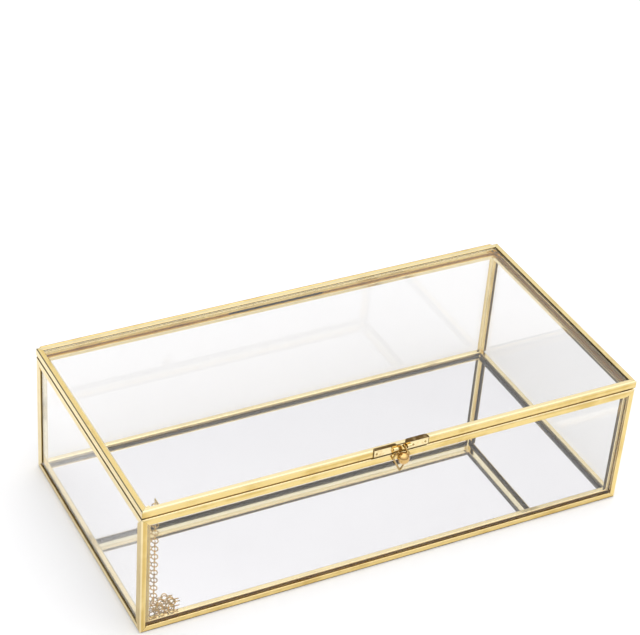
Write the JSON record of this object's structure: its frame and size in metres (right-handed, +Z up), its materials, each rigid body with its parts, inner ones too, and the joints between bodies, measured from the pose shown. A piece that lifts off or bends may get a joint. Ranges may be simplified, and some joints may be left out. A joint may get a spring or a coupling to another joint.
{
  "type": "jewelry box",
  "caption": "Low rectangular glass jewelry box in brass came, with a mirror floor, a hinged glass lid held by a fine chain, and a wire loop that drops over a ball stud.",
  "frame": {"origin": "middle of the underside of the closed box, on the table", "axes": "+X along the long side to the viewer's right, +Y from the clasp to the hinge, +Z up"},
  "size_m": [0.3, 0.1632, 0.0845],
  "materials": {
    "polished_brass": "polished, lightly brushed came",
    "bright_brass": "polished",
    "pane_glass": "clear, polished",
    "mirror_cover_glass": "clear, polished",
    "silvering": "mirror",
    "backing_board": "hardboard",
    "felt": "felt"
  },
  "bodies": {
    "case": {"bottom_rail_front": "polished_brass", "bottom_rail_back": "polished_brass", "bottom_rail_left": "polished_brass", "bottom_rail_right": "polished_brass", "top_rail_front": "polished_brass", "top_rail_back": "polished_brass", "top_rail_left": "polished_brass", "top_rail_right": "polished_brass", "post_front_left": "polished_brass", "post_front_right": "polished_brass", "post_back_left": "polished_brass", "post_back_right": "polished_brass", "glass_front": "pane_glass", "glass_back": "pane_glass", "glass_left": "pane_glass", "glass_right": "pane_glass", "base_pad": "felt", "base_board": "backing_board", "mirror_silvering": "silvering", "mirror_glass": "mirror_cover_glass", "hinge_knuckle_case": "polished_brass", "hinge_pin": "polished_brass", "ball_stud": "bright_brass", "chain_eye_case": "bright_brass"},
    "lid": {"lid_rail_front": "polished_brass", "lid_rail_back": "polished_brass", "lid_rail_left": "polished_brass", "lid_rail_right": "polished_brass", "glass_lid": "pane_glass", "hinge_knuckle_lid_left": "polished_brass", "hinge_knuckle_lid_right": "polished_brass", "clasp_plate": "bright_brass", "clasp_rivet_left": "bright_brass", "clasp_rivet_middle": "bright_brass", "clasp_rivet_right": "bright_brass", "chain_eye_lid": "bright_brass"},
    "clasp_loop": {"clasp_loop": "bright_brass"},
    "chain_case": {"chain_strand_case": "bright_brass"},
    "chain_lid": {"chain_strand_lid": "bright_brass"},
    "chain_heap_1": {"chain_heap_1": "bright_brass"},
    "chain_heap_2": {"chain_heap_2": "bright_brass"},
    "chain_heap_3": {"chain_heap_3": "bright_brass"},
    "chain_heap_4": {"chain_heap_4": "bright_brass"},
    "chain_heap_5": {"chain_heap_5": "bright_brass"},
    "chain_heap_6": {"chain_heap_6": "bright_brass"},
    "chain_heap_7": {"chain_heap_7": "bright_brass"},
    "chain_heap_8": {"chain_heap_8": "bright_brass"}
  },
  "joints": [
    {"name": "lid_hinge", "type": "hinge", "parent": "case", "child": "lid", "pos_m": [0, 0.07795, 0.0812], "axis": [-1, 0, 0], "range_deg": [0, 102.2], "deforming": ["chain_strand_case", "chain_heap_1", "chain_heap_2", "chain_heap_3", "chain_heap_4", "chain_heap_5", "chain_heap_6", "chain_heap_7", "chain_heap_8", "chain_strand_lid"]},
    {"name": "loop_swing", "type": "hinge", "parent": "lid", "child": "clasp_loop", "pos_m": [0, -0.0776, 0.0826], "axis": [-1, 0, 0], "range_deg": [0, 170]},
    {"name": "chain_case_swing", "type": "hinge", "parent": "case", "child": "chain_case", "pos_m": [-0.1422, -0.0665, 0.0753], "axis": [0.9998, -0.0208, 0], "range_deg": [0, 130.56]},
    {"name": "chain_heap_1_swing", "type": "hinge", "parent": "case", "child": "chain_heap_1", "pos_m": [-0.19358, -0.02261, 0.05455], "axis": [-0.3544, -0.8288, 0.4329], "range_deg": [0, 97.26]},
    {"name": "chain_heap_2_swing", "type": "hinge", "parent": "case", "child": "chain_heap_2", "pos_m": [-0.07289, -0.01435, 0.06421], "axis": [-0.2881, 0.8305, -0.4768], "range_deg": [0, 95.78]},
    {"name": "chain_heap_3_swing", "type": "hinge", "parent": "case", "child": "chain_heap_3", "pos_m": [-0.19937, -0.0056, 0.05904], "axis": [-0.3719, -0.8183, 0.4383], "range_deg": [0, 98.42]},
    {"name": "chain_heap_4_swing", "type": "hinge", "parent": "case", "child": "chain_heap_4", "pos_m": [-0.05999, -0.00039, 0.07218], "axis": [-0.2515, 0.833, -0.4929], "range_deg": [0, 93.74]},
    {"name": "chain_heap_5_swing", "type": "hinge", "parent": "case", "child": "chain_heap_5", "pos_m": [-0.20783, 0.0024, 0.06532], "axis": [-0.3476, -0.7974, 0.4933], "range_deg": [0, 97.71]},
    {"name": "chain_heap_6_swing", "type": "hinge", "parent": "case", "child": "chain_heap_6", "pos_m": [-0.04149, -0.00099, 0.08331], "axis": [-0.1548, 0.8055, -0.5721], "range_deg": [0, 89.63]},
    {"name": "chain_heap_7_swing", "type": "hinge", "parent": "case", "child": "chain_heap_7", "pos_m": [-0.23528, 0.00208, 0.07862], "axis": [-0.1963, -0.7969, 0.5713], "range_deg": [0, 90.11]},
    {"name": "chain_heap_8_swing", "type": "hinge", "parent": "case", "child": "chain_heap_8", "pos_m": [-0.03775, 0.01062, 0.08564], "axis": [-0.178, 0.8088, -0.5605], "range_deg": [0, 90.72]},
    {"name": "chain_lid_swing", "type": "hinge", "parent": "lid", "child": "chain_lid", "pos_m": [-0.1386, -0.0665, 0.07885], "axis": [0.9998, 0.0199, 0], "range_deg": [0, 52.77]}
  ],
  "couplings": [
    {"joint": "chain_case_swing", "follows": "lid_hinge", "ratio": 1.277},
    {"joint": "chain_heap_1_swing", "follows": "lid_hinge", "ratio": 0.95116},
    {"joint": "chain_heap_2_swing", "follows": "lid_hinge", "ratio": 0.93665},
    {"joint": "chain_heap_3_swing", "follows": "lid_hinge", "ratio": 0.96253},
    {"joint": "chain_heap_4_swing", "follows": "lid_hinge", "ratio": 0.91674},
    {"joint": "chain_heap_5_swing", "follows": "lid_hinge", "ratio": 0.95557},
    {"joint": "chain_heap_6_swing", "follows": "lid_hinge", "ratio": 0.87648},
    {"joint": "chain_heap_7_swing", "follows": "lid_hinge", "ratio": 0.88116},
    {"joint": "chain_heap_8_swing", "follows": "lid_hinge", "ratio": 0.88717},
    {"joint": "chain_lid_swing", "follows": "lid_hinge", "ratio": 0.5159}
  ]
}
